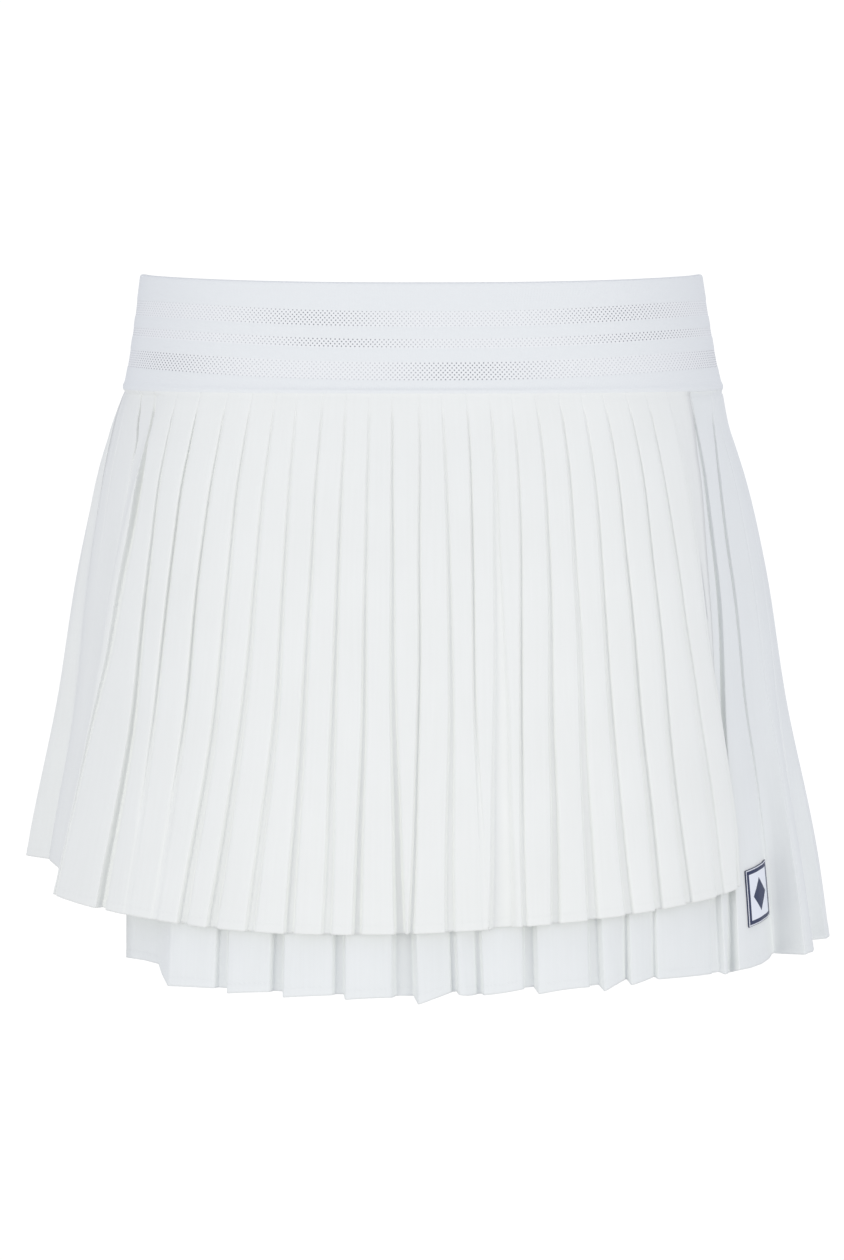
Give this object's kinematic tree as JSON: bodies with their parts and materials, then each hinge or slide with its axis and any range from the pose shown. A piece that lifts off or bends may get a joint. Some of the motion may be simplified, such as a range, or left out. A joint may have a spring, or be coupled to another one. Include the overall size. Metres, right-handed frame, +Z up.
{
  "type": "tennis skirt",
  "caption": "Pleated wrap tennis skirt in worn form, with a wide knitted pull-on waistband, a stepped overlay and an open hem.",
  "frame": {"origin": "centre of the waist opening, level with the waistband's top edge at the sides, where the wearer's waist holds the skirt", "axes": "+X to the viewer's right across the skirt, +Y to the back, +Z up"},
  "size_m": [0.4396, 0.2968, 0.3572],
  "materials": {
    "elastic_knit": "matt white elastic knit with mesh stripes",
    "pleated_cloth": "matt white woven polyester with pressed pleats",
    "woven_patch": "navy woven patch"
  },
  "bodies": {
    "root": {"waistband": "elastic_knit", "under_front": "pleated_cloth", "back": "pleated_cloth", "over_front": "pleated_cloth", "hem_tab": "woven_patch"}
  },
  "joints": []
}
